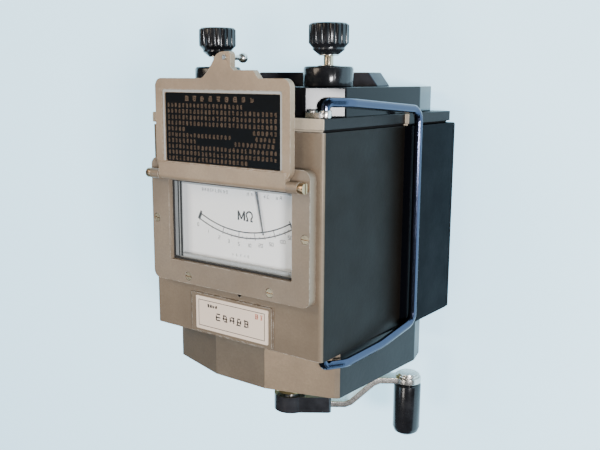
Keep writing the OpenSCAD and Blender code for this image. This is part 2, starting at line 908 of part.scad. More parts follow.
module line_clamp_washer() {
    washer(terminal_x, y_clamp, y_knob, 4.7);
}

module earth_clamp_washer() {
    washer(-terminal_x, y_clamp, y_knob, 4.7);
}

module line_insert() {
    insert(terminal_x);
}

module earth_insert() {
    insert(-terminal_x);
}

module line_knob() {
    knob(terminal_x);
}

module earth_knob() {
    knob(-terminal_x);
}

// ---------- crank ----------

module crank_shaft() {
    color([0.7, 0.7, 0.72])
        rod_y([0, crank_z], hub_y[0], y_bot + wall + 0.5, shaft_r);
}

module crank_bush() {
    color([0.6, 0.5, 0.3])
        difference() {
            union() {
                rod_y([0, crank_z], y_cover - 1.8, y_cover, 14);
                rod_y([0, crank_z], hub_y[1] + 1.5, y_cover, 8);
            }
            rod_y([0, crank_z], hub_y[1], y_cover + 1, shaft_r + fit);
        }
}

module crank_hub() {
    color([0.04, 0.04, 0.05])
        crank_frame()
            difference() {
                union() {
                    rod_y([0, 0], hub_y[0], hub_y[1], 9.1);
                    along_y(hub_y[0], hub_y[1])
                        round_rect([-2, -8], [21.7, 8], 2);
                }
                rod_y([0, 0], hub_y[0] - 1, hub_y[1] + 1, shaft_r + snug);
                block([11.9, arm_low - arm_t / 2 - snug, -arm_w / 2 - snug],
                    [22, arm_low + arm_t / 2 + snug, arm_w / 2 + snug]);
            }
}

module hub_screw() {
    color([0.6, 0.6, 0.6])
        difference() {
            rod_y([0, crank_z], hub_y[0] - 1.6, hub_y[0], 5.2);
            block([-6, hub_y[0] - 1.7, crank_z - 0.5], [6, hub_y[0] - 0.8, crank_z + 0.5]);
        }
}

module crank_arm() {
    line = [[12, arm_low], [29, arm_low], [32.5, arm_low + 1.4], [44, arm_high - 1.6],
        [47.5, arm_high], [crank_r, arm_high]];
    color([0.75, 0.72, 0.68])
        crank_frame()
            difference() {
                union() {
                    translate([0, 0, -arm_w / 2])
                        linear_extrude(arm_w)
                            polygon(strip(line, arm_t));
                    rod_y([crank_r, 0], arm_high - arm_t / 2, arm_high + arm_t / 2, 7.2);
                }
                rod_y([crank_r, 0], arm_high - 3, arm_high + 3, pin_r + snug);
            }
}

module grip_pin() {
    top = arm_high + arm_t / 2;
    color([0.8, 0.8, 0.8])
        crank_frame()
            union() {
                rod_y([crank_r, 0], top, top + 1.2, 6.3);
                rod_y([crank_r, 0], top + 1.1, top + 1.9, 5.2);
                rod_y([crank_r, 0], grip_top - grip_len + 3, top + 0.1, pin_r);
            }
}

module crank_grip() {
    color([0.06, 0.06, 0.07])
        crank_frame()
            translate([crank_r, grip_top, 0])
                rotate([90, 0, 0])
                    rotate_extrude()
                        polygon([[pin_r + fit, 0], [grip_r - 1, 0], [grip_r, 1], [grip_r, grip_len - 4],
                            [grip_r - 0.8, grip_len - 1.7], [grip_r - 2.6, grip_len - 0.4],
                            [grip_r - 4.4, grip_len], [0, grip_len], [0, grip_len - 2.5],
                            [pin_r + fit, grip_len - 2.5]]);
}

front_case();
rear_case();
back_plate();
back_screws();
top_cap();
terminal_housing();
terminal_bridge();
gearbox_housing();
gear_cover();
cover_screws();
meter_bezel();
bezel_screws();
glass_gasket();
meter_glass();
dial_frame();
dial_plate();
movement_frame();
movement_magnet();
moving_coil();
pointer();
lid_cover();
instruction_plate();
hinge_screws();
latch_bolt();
latch_knob();
name_plate();
bail_handle();
bail_pins();
bail_lug();
bail_lug_screw();
line_base();
earth_base();
line_stud();
earth_stud();
stud_nuts();
guard_ring();
earth_washer();
line_clamp_washer();
earth_clamp_washer();
line_insert();
earth_insert();
line_knob();
earth_knob();
crank_shaft();
crank_bush();
crank_hub();
hub_screw();
crank_arm();
grip_pin();
crank_grip();
drive_gear();
layshaft();
lay_pinion();
lay_gear();
rotor_shaft();
rotor_pinion();
rotor_magnet();
stator_core();
generator_plates();
rectifier_board();
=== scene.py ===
"""Hand-cranked insulation tester, lying on its back. Metres, in the CAD frame: +Z out of the dial."""

import bpy
import bmesh
import json
import math
import random
from mathutils import Matrix, Vector


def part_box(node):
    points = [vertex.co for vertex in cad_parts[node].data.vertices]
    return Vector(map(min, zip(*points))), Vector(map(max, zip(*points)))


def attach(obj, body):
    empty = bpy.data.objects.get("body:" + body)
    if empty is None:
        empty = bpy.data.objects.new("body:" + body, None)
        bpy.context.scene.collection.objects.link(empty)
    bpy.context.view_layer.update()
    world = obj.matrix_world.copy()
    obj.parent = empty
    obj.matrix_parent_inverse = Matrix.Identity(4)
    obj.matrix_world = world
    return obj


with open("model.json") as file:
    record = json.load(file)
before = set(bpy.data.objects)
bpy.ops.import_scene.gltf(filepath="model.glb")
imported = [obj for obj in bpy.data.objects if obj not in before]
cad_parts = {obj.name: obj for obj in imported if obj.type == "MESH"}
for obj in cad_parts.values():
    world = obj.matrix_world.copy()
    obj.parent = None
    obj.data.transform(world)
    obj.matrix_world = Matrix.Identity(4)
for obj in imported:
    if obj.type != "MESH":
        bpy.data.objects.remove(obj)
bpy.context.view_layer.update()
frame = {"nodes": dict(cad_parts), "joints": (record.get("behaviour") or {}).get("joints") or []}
MM = 0.001
rng = random.Random(7)


# ---------- materials ----------


class Nodes:
    """A material's node tree, with short ways to add and join nodes."""

    def __init__(self, name):
        self.mat = bpy.data.materials.new(name)
        self.mat.use_nodes = True
        self.tree = self.mat.node_tree
        self.shader = self.tree.nodes["Principled BSDF"]
        self.space = self.add("ShaderNodeTexCoord").outputs["Object"]

    def add(self, kind, **values):
        node = self.tree.nodes.new(kind)
        for key, value in values.items():
            setattr(node, key, value)
        return node

    def put(self, socket, value):
        if isinstance(value, bpy.types.NodeSocket):
            self.tree.links.new(value, socket)
        else:
            socket.default_value = value

    def noise(self, scale, detail=3.0, rough=0.55, stretch=None):
        node = self.add("ShaderNodeTexNoise")
        node.inputs["Scale"].default_value = scale
        node.inputs["Detail"].default_value = detail
        node.inputs["Roughness"].default_value = rough
        if stretch:
            place = self.add("ShaderNodeMapping")
            place.inputs["Scale"].default_value = stretch
            self.put(place.inputs["Vector"], self.space)
            self.put(node.inputs["Vector"], place.outputs["Vector"])
        else:
            self.put(node.inputs["Vector"], self.space)
        return node.outputs["Fac"]

    def spread(self, value, low, high, to_low, to_high):
        node = self.add("ShaderNodeMapRange")
        self.put(node.inputs["Value"], value)
        node.inputs["From Min"].default_value = low
        node.inputs["From Max"].default_value = high
        node.inputs["To Min"].default_value = to_low
        node.inputs["To Max"].default_value = to_high
        return node.outputs["Result"]

    def math(self, how, a, b):
        node = self.add("ShaderNodeMath", operation=how)
        self.put(node.inputs[0], a)
        self.put(node.inputs[1], b)
        return node.outputs[0]

    def mix(self, factor, a, b):
        node = self.add("ShaderNodeMix", data_type="RGBA")
        self.put(node.inputs[0], factor)
        self.put(node.inputs[6], a if isinstance(a, bpy.types.NodeSocket) else (*a, 1))
        self.put(node.inputs[7], b if isinstance(b, bpy.types.NodeSocket) else (*b, 1))
        return node.outputs[2]

    def edges(self, radius, low=0.03, high=0.25):
        """1 on sharp outer edges, broken up by noise, and 0 on flats."""
        round_edge = self.add("ShaderNodeBevel", samples=6)
        round_edge.inputs["Radius"].default_value = radius
        flat = self.add("ShaderNodeNewGeometry").outputs["Normal"]
        dot = self.add("ShaderNodeVectorMath", operation="DOT_PRODUCT")
        self.put(dot.inputs[0], round_edge.outputs["Normal"])
        self.put(dot.inputs[1], flat)
        turned = self.spread(dot.outputs["Value"], 1 - low, 1 - high, 0, 1)
        chips = self.spread(self.noise(380, 4), 0.42, 0.62, 0, 1)
        return self.math("MULTIPLY", turned, chips)

    def bump(self, height, strength, distance):
        node = self.add("ShaderNodeBump")
        node.inputs["Strength"].default_value = strength
        node.inputs["Distance"].default_value = distance
        self.put(node.inputs["Height"], height)
        self.put(self.shader.inputs["Normal"], node.outputs["Normal"])

    def set(self, **values):
        names = {
            "color": "Base Color",
            "rough": "Roughness",
            "metal": "Metallic",
            "coat": "Coat Weight",
            "coat_rough": "Coat Roughness",
            "level": "Specular IOR Level",
            "alpha": "Alpha",
        }
        for key, value in values.items():
            if isinstance(value, tuple):
                value = (*value, 1)
            self.put(self.shader.inputs[names[key]], value)
        return self


def tint(color, factor):
    return tuple(min(1.0, c * factor) for c in color)


def paint(name, color, rough=0.42, coat=0.0, wear=(0.42, 0.40, 0.37), wear_amount=0.55, grain=1.0,
          metal=0.0, mottle=0.16, edge=0.0005, level=0.5):
    """Sprayed paint: mottled colour, orange-peel grain, rubbed edges."""
    n = Nodes(name)
    clouds = n.noise(34, 5, 0.6)
    fine = n.noise(900, 2, 0.6)
    shade = n.mix(n.spread(clouds, 0.3, 0.7, 0, 1), tint(color, 1 - mottle), tint(color, 1 + mottle))
    speck = n.mix(n.spread(fine, 0.3, 0.7, 0, 0.35), shade, tint(color, 0.7))
    worn = n.math("MULTIPLY", n.edges(edge), wear_amount)
    n.set(color=n.mix(worn, speck, wear), metal=metal, coat=coat, coat_rough=0.12, level=level)
    n.set(rough=n.spread(n.noise(60, 4), 0.3, 0.7, rough * 0.86, rough * 1.16))
    peel = n.math("ADD", n.noise(420, 2), n.math("MULTIPLY", n.noise(1500, 2), 0.35))
    n.bump(peel, 0.35 * grain, 0.00012)
    return n.mat


def metal(name, color, rough=0.3, stretch=None, dirt=0.35, dark=(0.12, 0.10, 0.08)):
    """Bare or plated metal: brushing or turning marks, uneven gloss and dirt in patches."""
    n = Nodes(name)
    marks = n.noise(900, 3, 0.6, stretch or (1, 1, 1))
    patches = n.noise(120, 5, 0.65)
    base = n.mix(n.spread(marks, 0.3, 0.7, 0, 1), tint(color, 0.86), tint(color, 1.08))
    stain = n.math("MULTIPLY", n.spread(patches, 0.52, 0.75, 0, 1), dirt)
    n.set(color=n.mix(stain, base, dark), metal=1.0)
    n.set(rough=n.spread(n.math("ADD", marks, patches), 0.7, 1.3, rough * 0.8, rough * 1.35))
    n.bump(marks, 0.3, 0.00006)
    return n.mat


def bakelite(name, color=(0.006, 0.006, 0.007), rough=0.17):
    """Polished black moulding with dull handled patches and faint scratches."""
    n = Nodes(name)
    patches = n.noise(90, 5, 0.6)
    scratches = n.noise(700, 2, 0.5, (1, 9, 1))
    worn = n.math("MULTIPLY", n.edges(0.0004), 0.35)
    black = n.mix(n.spread(patches, 0.4, 0.7, 0, 1), color, tint(color, 2.2))
    n.set(color=n.mix(worn, black, (0.10, 0.09, 0.08)))
    n.set(rough=n.spread(patches, 0.3, 0.72, rough * 0.8, rough * 1.9))
    n.set(coat=0.15, coat_rough=0.08, level=0.3)
    n.bump(scratches, 0.12, 0.00005)
    return n.mat


def printed(name, color, rough=0.5, specks=0.06, level=0.5):
    """Printed or enamelled sheet: nearly flat colour with light dust and a faint tooth."""
    n = Nodes(name)
    dust = n.noise(260, 5, 0.7)
    wash = n.noise(22, 3, 0.5)
    base = n.mix(n.spread(wash, 0.3, 0.7, 0, 1), tint(color, 0.965), tint(color, 1.02))
    n.set(color=n.mix(n.math("MULTIPLY", n.spread(dust, 0.6, 0.8, 0, 1), specks), base, (0.30, 0.26, 0.20)))
    n.set(rough=n.spread(dust, 0.3, 0.7, rough * 0.9, rough * 1.12), level=level)
    n.bump(n.noise(1400, 2), 0.08, 0.00004)
    return n.mat


def shade_sides(name, front, side, front_z=1.0, **how):
    """The case's paint with painted shade: the front face, and all above front_z, keep one tone; faces turned
    sideways are painted in a darker one, standing in for the shade on the sides.
    """
    mat = paint(name, front, **how)
    tree = mat.node_tree
    shader = tree.nodes["Principled BSDF"]
    old = shader.inputs["Base Color"].links[0].from_socket
    mix = tree.nodes.new("ShaderNodeMix")
    mix.data_type = "RGBA"
    split = tree.nodes.new("ShaderNodeSeparateXYZ")
    coords = tree.nodes.new("ShaderNodeTexCoord")
    tree.links.new(coords.outputs["Normal"], split.inputs[0])
    step = tree.nodes.new("ShaderNodeMapRange")
    step.inputs["From Min"].default_value = 0.12
    step.inputs["From Max"].default_value = 0.42
    tree.links.new(split.outputs["Z"], step.inputs["Value"])
    place = tree.nodes.new("ShaderNodeSeparateXYZ")
    tree.links.new(coords.outputs["Object"], place.inputs[0])
    raised = tree.nodes.new("ShaderNodeMapRange")
    raised.inputs["From Min"].default_value = front_z
    raised.inputs["From Max"].default_value = front_z + 0.0002
    tree.links.new(place.outputs["Z"], raised.inputs["Value"])
    either = tree.nodes.new("ShaderNodeMath")
    either.operation = "MAXIMUM"
    tree.links.new(step.outputs["Result"], either.inputs[0])
    tree.links.new(raised.outputs["Result"], either.inputs[1])
    tree.links.new(either.outputs[0], mix.inputs[0])
    darker = tree.nodes.new("ShaderNodeMix")
    darker.data_type = "RGBA"
    darker.blend_type = "MULTIPLY"
    darker.inputs[0].default_value = 1.0
    darker.inputs[7].default_value = (*[s / f for s, f in zip(side, front)], 1)
    tree.links.new(old, darker.inputs[6])
    tree.links.new(darker.outputs[2], mix.inputs[6])
    tree.links.new(old, mix.inputs[7])
    tree.links.new(mix.outputs[2], shader.inputs["Base Color"])
    return mat


TAN = (0.215, 0.165, 0.118)
# painted shade: the darker tone of the case's sideways faces, standing in for the shade on its sides
SIDE_SHADE = (0.009, 0.007, 0.0055)
PAD_Z = 0.1174  # the case is tan all over above this height, where the name plate's pad stands up
M = {
    # painted shade: the case, gearbox and top cap are painted darker on their sideways faces
    "case": shade_sides("case_paint", tint(TAN, 0.92), SIDE_SHADE, PAD_Z, rough=0.42, metal=0.2,
                     wear=(0.62, 0.60, 0.55), wear_amount=0.8, edge=0.0008, level=0.08),
    "tan": paint("tan_paint", tint(TAN, 1.12), rough=0.42, metal=0.2,
                 wear=(0.62, 0.58, 0.50), wear_amount=0.8, edge=0.0007, level=0.3),
    "gear": shade_sides("gear_paint", tint(TAN, 1.0), (0.016, 0.015, 0.015), rough=0.34, metal=0.55,
                     wear=(0.5, 0.47, 0.42), level=0.15),
    "lid": paint("lid_paint", (0.34, 0.25, 0.17), rough=0.42, metal=0.2,
                 wear=(0.62, 0.56, 0.47), wear_amount=0.8, edge=0.0007, level=0.3),
    # painted shade: the rear section and back plate are painted near-black navy, standing in for the shade
    # they sit in
    "rear": paint("rear_paint", (0.002, 0.0024, 0.004), rough=0.45, wear=(0.10, 0.11, 0.12), level=0.03),
    "cap": shade_sides("cap_paint", (0.50, 0.42, 0.32), (0.010, 0.009, 0.009), rough=0.40, level=0.12),
    "gloss": paint("gloss_paint", (0.005, 0.005, 0.006), rough=0.11,
                   wear=(0.1, 0.1, 0.1), grain=0.12, level=0.11),
    "bridge": bakelite("bridge_moulding", (0.010, 0.011, 0.016), 0.28),
    "yellow": metal("yellow_plating", (0.62, 0.47, 0.17), 0.34, (1, 1, 14)),
    "bronze": metal("aged_screws", (0.42, 0.29, 0.17), 0.32, dirt=0.6),
    "steel": metal("worn_steel", (0.60, 0.57, 0.53), 0.26, (1, 8, 1), dirt=0.3),
    "rod": metal("bail_steel", (0.055, 0.065, 0.105), 0.14, (1, 1, 10), 0.45, dark=(0.05, 0.06, 0.09)),
    "nickel": metal("nickel", (0.72, 0.69, 0.64), 0.2, dirt=0.25),
    "brass": metal("turned_brass", (0.66, 0.49, 0.22), 0.28, (1, 12, 1)),
    "stud": metal("terminal_studs", (0.50, 0.42, 0.30), 0.25, (1, 12, 1), dirt=0.5),
    "bakelite": bakelite("black_bakelite"),
    "enamel": bakelite("black_enamel", (0.012, 0.012, 0.014), 0.15),
    "needle": paint("needle_paint", (0.05, 0.05, 0.055), rough=0.4, wear_amount=0.2),
    "rubber": paint("gasket_rubber", (0.02, 0.02, 0.02), rough=0.75, wear_amount=0.0),
    "mask": paint("mask_paint", (0.40, 0.42, 0.42), rough=0.5, wear_amount=0.1),
    # painted shadow: dark strips along the window's left edge
    "shade_band": paint("band_paint", (0.006, 0.006, 0.006), rough=0.6, wear_amount=0.0, level=0.2),
    # painted highlight: pale strips round the lid's black plate
    "highlight": paint("highlight_paint", (0.40, 0.40, 0.38), rough=0.4, wear_amount=0.3),
    "dial": printed("dial_white", (0.94, 0.94, 0.93), 0.42),
    "cream": printed("plate_cream", (0.80, 0.66, 0.54), 0.5, 0.12),
    "black_sheet": printed("black_sheet", (0.002, 0.002, 0.002), 0.42, 0.02, 0.1),
    "ink": printed("black_ink", (0.004, 0.004, 0.004), 0.6, 0.0),
    "pale_ink": printed("pale_ink", (0.10, 0.07, 0.05), 0.55, 0.3, 0.1),
    "grey_ink": printed("grey_ink", (0.11, 0.11, 0.11), 0.6, 0.0),
    "red_ink": printed("red_ink", (0.62, 0.20, 0.13), 0.5),
    "magnet": metal("ground_magnet", (0.30, 0.30, 0.32), 0.35, (1, 10, 1)),
    "copper": metal("enamelled_copper", (0.45, 0.20, 0.10), 0.3, (14, 1, 1)),
    "alu": metal("milled_aluminium", (0.60, 0.60, 0.62), 0.35, (10, 1, 1)),
    "board": paint("board_green", (0.05, 0.16, 0.08), rough=0.4, wear_amount=0.0),
}


def glass():
    n = Nodes("window_glass")
    smears = n.noise(60, 4, 0.6)
    n.set(color=(0.80, 0.90, 0.96), level=0.35, alpha=0.04)
    n.set(rough=n.spread(smears, 0.35, 0.7, 0.03, 0.10))
    return n.mat


M["glass"] = glass()

LOOK = {
    "case": ["front_case"],
    "tan": ["meter_bezel"],
    "gear": ["gearbox_housing"],
    "lid": ["lid_cover"],
    "rear": ["rear_case", "back_plate"],
    "cap": ["top_cap"],
    "gloss": ["terminal_housing"],
    "bridge": ["terminal_bridge"],
    "yellow": ["gear_cover", "cover_screws"],
    "bronze": ["bezel_screws", "hinge_screws"],
    "steel": ["back_screws", "bail_lug", "bail_lug_screw", "crank_shaft", "crank_arm", "grip_pin",
              "hub_screw", "latch_bolt", "latch_knob", "layshaft", "rotor_shaft", "rotor_pinion"],
    "rod": ["bail_handle", "bail_pins"],
    "nickel": ["guard_ring", "earth_washer", "line_clamp_washer", "earth_clamp_washer"],
    "stud": ["line_stud", "earth_stud"],
    "brass": ["stud_nuts", "line_insert", "earth_insert", "crank_bush", "drive_gear",
              "lay_pinion", "lay_gear", "movement_frame"],
    "bakelite": ["line_base", "earth_base", "line_knob", "earth_knob", "crank_grip"],
    "enamel": ["crank_hub"],
    "black_sheet": ["instruction_plate"],
    "needle": ["pointer"],
    "rubber": ["glass_gasket"],
    "glass": ["meter_glass"],
    "mask": ["dial_frame"],
    "dial": ["dial_plate"],
    "cream": ["name_plate"],
    "magnet": ["movement_magnet", "rotor_magnet"],
    "copper": ["moving_coil", "stator_core"],
    "alu": ["generator_plates"],
    "board": ["rectifier_board"],
}
SOFT_EDGE = {  # width of the rounded edge, in mm, where it isn't the usual one
    "front_case": 0.5, "rear_case": 0.7, "top_cap": 0.5, "terminal_housing": 0.7, "terminal_bridge": 0.7,
    "gearbox_housing": 0.7, "meter_bezel": 0.7, "lid_cover": 0.6, "name_plate": 0.12, "crank_hub": 0.9,
    "crank_arm": 0.35, "gear_cover": 0.5, "line_base": 0.5, "earth_base": 0.5, "instruction_plate": 0.1,
}
FACETED = {"gearbox_housing", "terminal_housing"}  # their faces meet at flatter angles
FLAT = FACETED | {"front_case", "rear_case", "top_cap", "meter_bezel", "lid_cover", "gear_cover",
                  "terminal_bridge", "back_plate", "crank_hub", "crank_arm", "name_plate", "dial_frame"}
NO_EDGE = {"drive_gear", "lay_gear", "lay_pinion", "rotor_pinion", "bail_handle", "latch_knob", "meter_glass",
           "glass_gasket", "dial_plate", "pointer", "moving_coil"}

for look, nodes in LOOK.items():
    for node in nodes:
        thing = frame["nodes"][node]
        if thing.material_slots:
            for held in thing.material_slots:
                held.material = M[look]
        else:
            thing.data.materials.append(M[look])
        if node in NO_EDGE:
            continue
        weld = thing.modifiers.new("weld", "WELD")
        weld.merge_threshold = 0.00001
        edge = thing.modifiers.new("edge", "BEVEL")
        edge.width = SOFT_EDGE.get(node, 0.2) * MM
        edge.segments = 2
        edge.limit_method = "ANGLE"
        edge.angle_limit = math.radians(12 if node in FACETED else 24)
        edge.harden_normals = node not in FLAT
        if node in FLAT:
            thing.modifiers.new("flat", "WEIGHTED_NORMAL").weight = 100


# ---------- pieces ----------


def solid(name, shapes, z0, z1, body, look):
    """Flat closed shapes, each a ring of [x, y] points in mm, raised from z0 to z1 mm."""
    bm = bmesh.new()
    for ring in shapes:
        low = [bm.verts.new((x * MM, y * MM, z0 * MM)) for x, y in ring]
        high = [bm.verts.new((x * MM, y * MM, z1 * MM)) for x, y in ring]
        count = len(ring)
        bm.faces.new(high)
        bm.faces.new(low[::-1])
        for i in range(count):
            j = (i + 1) % count
            bm.faces.new((low[i], low[j], high[j], high[i]))
    bmesh.ops.recalc_face_normals(bm, faces=bm.faces)
    mesh = bpy.data.meshes.new(name)
    bm.to_mesh(mesh)
    bm.free()
    mesh.materials.append(M[look])
    thing = bpy.data.objects.new(name, mesh)
    bpy.context.collection.objects.link(thing)
    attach(thing, body)


def printing(name, shapes, z, body, look):
    """Ink laid on a face at height z, in mm."""
    solid(name, shapes, z, z + INK_T, body, look)


def edges_mm(node):
    """A CAD node's left, right, lower and upper edges and its top, in mm."""
    low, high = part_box(node)
    return low.x / MM, high.x / MM, low.y / MM, high.y / MM, high.z / MM


def bar(x0, y0, x1, y1):
    return [(x0, y0), (x1, y0), (x1, y1), (x0, y1)]


def line(a, b, width):
    """A straight stroke between two points."""
    ax, ay = a
    bx, by = b
    length = math.hypot(bx - ax, by - ay)
    nx, ny = (ay - by) / length * width / 2, (bx - ax) / length * width / 2
    return [(ax + nx, ay + ny), (ax - nx, ay - ny), (bx - nx, by - ny), (bx + nx, by + ny)]


def around(centre, radius, angle):
    """The point at a radius, angle degrees to the right of straight down."""
    a = math.radians(angle)
    return (centre[0] + radius * math.sin(a), centre[1] - radius * math.cos(a))


def arc(centre, radius, width, a0, a1, steps=48):
    shapes = []
    for i in range(steps):
        a, b = a0 + (a1 - a0) * i / steps, a0 + (a1 - a0) * (i + 1) / steps
        shapes.append([around(centre, radius - width / 2, a), around(centre, radius + width / 2, a),
                       around(centre, radius + width / 2, b), around(centre, radius - width / 2, b)])
    return shapes


# seven-stroke figures on a 1 x 1.6 grid: each figure's strokes, and each stroke's ends
STROKES = {
    "0": "abcdef", "1": "bc", "2": "abged", "3": "abgcd", "5": "afgcd",
}
ENDS = {
    "a": ((0, 1.6), (1, 1.6)), "b": ((1, 1.6), (1, 0.8)), "c": ((1, 0.8), (1, 0)), "d": ((0, 0), (1, 0)),
    "e": ((0, 0), (0, 0.8)), "f": ((0, 0.8), (0, 1.6)), "g": ((0, 0.8), (1, 0.8)),
}


def figure(text, x, y, size, width):
    """Digits centred on x, y, with a stroke of that width."""
    shapes = []
    step = 1.55 * size
    left = x - (len(text) * step - 0.55 * size) / 2
    for i, sign in enumerate(text):
        for key in STROKES[sign]:
            (ax, ay), (bx, by) = ENDS[key]
            a = (left + i * step + ax * size, y + (ay - 0.8) * size)
            b = (left + i * step + bx * size, y + (by - 0.8) * size)
            shapes.append(line(a, b, width))
    return shapes


def glyph(x, y, w, h, stroke, fill=1.0):
    """A meaningless block mark: a few short bars in a cell."""
    shapes = []
    for i in range(3):
        if rng.random() < 0.8 * fill:
            yy = y + h * (0.12 + 0.38 * i) + rng.uniform(-0.05, 0.05) * h
            a, b = sorted((rng.uniform(0.0, 0.35), rng.uniform(0.65, 1.0)))
            shapes.append(bar(x + a * w, yy - stroke / 2, x + b * w, yy + stroke / 2))
    for i in range(2):
        if rng.random() < 0.8 * fill:
            xx = x + w * (0.22 + 0.55 * i) + rng.uniform(-0.07, 0.07) * w
            a, b = sorted((rng.uniform(0.0, 0.3), rng.uniform(0.7, 1.0)))
            shapes.append(bar(xx - stroke / 2, y + a * h, xx + stroke / 2, y + b * h))
    return shapes


def round_stroke(centre, radius, a0, a1, steps, width):
    """A round stroke from a0 to a1, in degrees anticlockwise from the right."""
    shapes = []
    for i in range(steps):
        near, far = (math.radians(a0 + (a1 - a0) * k / steps) for k in (i, i + 1))
        shapes.append(line((centre[0] + radius * math.cos(near), centre[1] + radius * math.sin(near)),
                           (centre[0] + radius * math.cos(far), centre[1] + radius * math.sin(far)), width))
    return shapes


INK_T = 0.03  # thickness of printed ink, in mm
STRIP_T = 0.05  # thickness of the painted bands and strips, in mm

# dial: two arcs about the needle's pivot, ticks that are closest together in the middle
needle_at = next(j for j in frame["joints"] if j["name"] == "pointer_swing")["pos_m"]
C = (2.5, needle_at[1] / MM - 0.1)
R_IN, R_OUT = 60.9, 63.7
TICKS = [-25.6, -21.4, -17.6, -14.2, -11.2, -8.6, -6.2, -4.0, -1.9, 0.2, 2.4, 4.8, 7.2, 9.8, 12.6, 15.4, 18.2,
         21.0, 23.8, 26.2, 28.0]
FIGURES = {"0": -25.6, "1": -19.6, "2": -12.8, "3": -7.4, "5": -1.9, "10": 3.6, "20": 9.8, "50": 15.4,
           "100": 21.0, "500": 26.2}
dial_z = edges_mm("dial_plate")[4]


def tick(r0, r1, angle, width):
    return line(around(C, r0, angle), around(C, r1, angle), width)


def dial_scale():
    shapes = arc(C, R_IN, 0.62, -26, 28.2) + arc(C, R_OUT, 0.52, -26, 28.2)
    for i, angle in enumerate(TICKS):
        if i % 4 == 0:
            shapes.append(tick(R_IN, R_OUT + 0.9, angle, 0.34))
        else:
            shapes.append(tick(R_OUT - 0.8, R_OUT + (0.8 if i % 2 == 0 else 0), angle, 0.3))
        if i + 1 < len(TICKS):
            gap = TICKS[i + 1] - angle
            shapes += [tick(R_OUT - 0.6, R_OUT, angle + gap * k / 4, 0.16) for k in (1, 2, 3)]
    shapes.append(tick(R_IN - 1.3, R_OUT + 0.4, -26.4, 1.3))
    shapes.append(tick(R_IN - 1.2, R_OUT + 1.4, 28.4, 0.5))
    return shapes


def dial_figures():
    shapes = []
    for text, angle in FIGURES.items():
        x, y = around(C, R_OUT + 3.3, angle)
        shapes += figure(text, x, y, 0.95, 0.26)
    return shapes


def dial_unit():
    """The unit sign, mega and ohm, drawn as strokes from its lower left corner."""
    x, y, high, wide = 0.2, 7.6, 4.6, 3.7
    middle = x + wide / 2
    shapes = [line((x, y), (x, y + high), 1.05),
              line((x + wide, y), (x + wide, y + high), 1.05),
              line((x, y + high), (middle, y + 0.7), 0.85),
              line((middle, y + 0.7), (x + wide, y + high), 0.85)]
    ohm = x + wide + 3.1
    shapes += round_stroke((ohm, y + 2.75), 1.85, -52, 232, 20, 0.85)
    for side in (-1, 1):
        shapes.append(line((ohm + side * 0.75, y + 0.2), (ohm + side * 2.1, y + 0.2), 0.85))
        shapes.append(line((ohm + side * 0.95, y), (ohm + side * 1.15, y + 1.4), 0.75))
    return shapes


def dial_marks():
    """Small block marks in the dial's upper corners and below its middle."""
    shapes = []
    for x in range(10):
        shapes += glyph(-23.5 + 1.75 * x, 19.6, 1.3, 1.7, 0.22)
    for x in (5.5, 8.2, 15.5, 17.6, 23.0, 25.2):
        shapes += glyph(x, 19.6, 1.4, 1.8, 0.24)
    for x in range(5):
        shapes += glyph(-4.0 + 2.4 * x, -10.4, 1.1, 1.5, 0.2, 0.8)
    return shapes


printing("dial_scale", dial_scale(), dial_z, "case", "ink")
printing("dial_figures", dial_figures(), dial_z, "case", "grey_ink")
printing("dial_unit", dial_unit(), dial_z, "case", "ink")
printing("dial_marks", dial_marks(), dial_z, "case", "grey_ink")


def window_shadow_strips():
    """Painted shadow: two dark strips on the mask, along the window's left edge, standing in for the shade
    there.
    """
    left, _, lower, upper, _ = edges_mm("glass_gasket")
    rim = 4.2
    left, lower, upper = left + rim, lower + rim, upper - rim
    return [bar(left, lower, left + 0.9, upper), bar(left + 1.5, lower, left + 3.0, upper)]


def lid_highlight_strips():
    """Painted highlight: pale strips round three sides of the lid's black plate, standing in for light on the
    inner edge of its recess.
    """
    wide, gap = 1.1, 1.4
    x0, x1, y0, y1, _ = edges_mm("instruction_plate")
    x0, x1, y1 = x0 - gap, x1 + gap, y1 + gap
    return [bar(x0, y0, x0 + wide, y1), bar(x0 + wide, y1 - wide, x1, y1), bar(x1 - wide, y0, x1, y1 - wide)]


mask_z = edges_mm("dial_frame")[4]
lid_step = edges_mm("lid_cover")[4] - 1.38
# painted shadow: dark strips along the window's left edge
solid("window_shadow", window_shadow_strips(), mask_z, mask_z + STRIP_T, "case", "shade_band")
# painted highlight: pale strips round the lid's plate
solid("lid_highlight", lid_highlight_strips(), lid_step, lid_step + STRIP_T, "lid", "highlight")

# instruction plate: the parts of the width, in each row, that carry marks
ROWS = [
    [(0.02, 0.72)],
    [(0.02, 0.98)],
    [(0.02, 0.98)],
    [(0.02, 0.98)],
    [(0.02, 0.20), (0.78, 0.98)],
    [(0.02, 0.62), (0.80, 0.98)],
    [(0.02, 0.30), (0.62, 0.98)],
    [(0.02, 0.98)],
    [(0.02, 0.98)],
    [(0.02, 0.74)],
]


def plate_marks():
    """A row of large block marks over the rows of small ones, in a dim, pale ink."""
    x0, x1, _, y1, _ = edges_mm("instruction_plate")
    shapes = []
    for i in range(9):
        shapes += glyph(x0 + 13.0 + 5.0 * i, y1 - 3.7, 2.4, 2.3, 0.62, 1.2)
    for i, parts in enumerate(ROWS):
        y = y1 - 6.7 - 2.78 * i
        for first, last in parts:
            x = x0 + (x1 - x0) * first
            while x < x0 + (x1 - x0) * last - 1.6:
                wide = rng.uniform(1.15, 1.5)
                shapes += glyph(x, y - 0.1, wide, 1.9, 0.52, 1.2)
                x += 2.42
    return shapes


